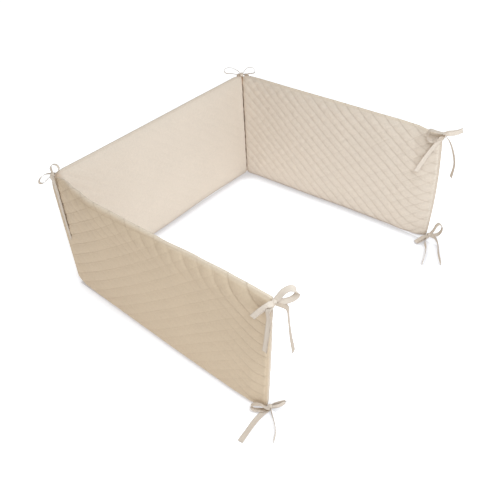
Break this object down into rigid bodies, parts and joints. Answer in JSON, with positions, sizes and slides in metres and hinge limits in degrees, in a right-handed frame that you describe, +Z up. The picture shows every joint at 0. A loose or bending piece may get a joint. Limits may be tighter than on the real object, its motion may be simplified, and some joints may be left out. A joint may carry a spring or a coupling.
{
  "type": "crib bumper",
  "caption": "Quilted, padded crib bumper that stands in a U, in sections folded at the corners, with flat ribbon ties knotted in bows at the corners and free ends.",
  "frame": {"origin": "on the floor under the middle of the middle section's foot", "axes": "+X along the middle section, towards the section whose free end stands farther from the front; +Z up; the U opens towards -Y"},
  "size_m": [0.7821, 0.6862, 0.3286],
  "materials": {
    "plush": "soft, short plush in warm sand, diamond quilted",
    "tape": "matt woven ribbon, a little lighter than the plush"
  },
  "bodies": {
    "root": {"section_middle": "plush", "section_right": "plush", "section_left": "plush", "tie_left_corner": "tape", "tie_back_corner": "tape", "tie_right_top": "tape", "tie_right_foot": "tape", "tie_front_top": "tape", "tie_front_foot": "tape"}
  },
  "joints": []
}
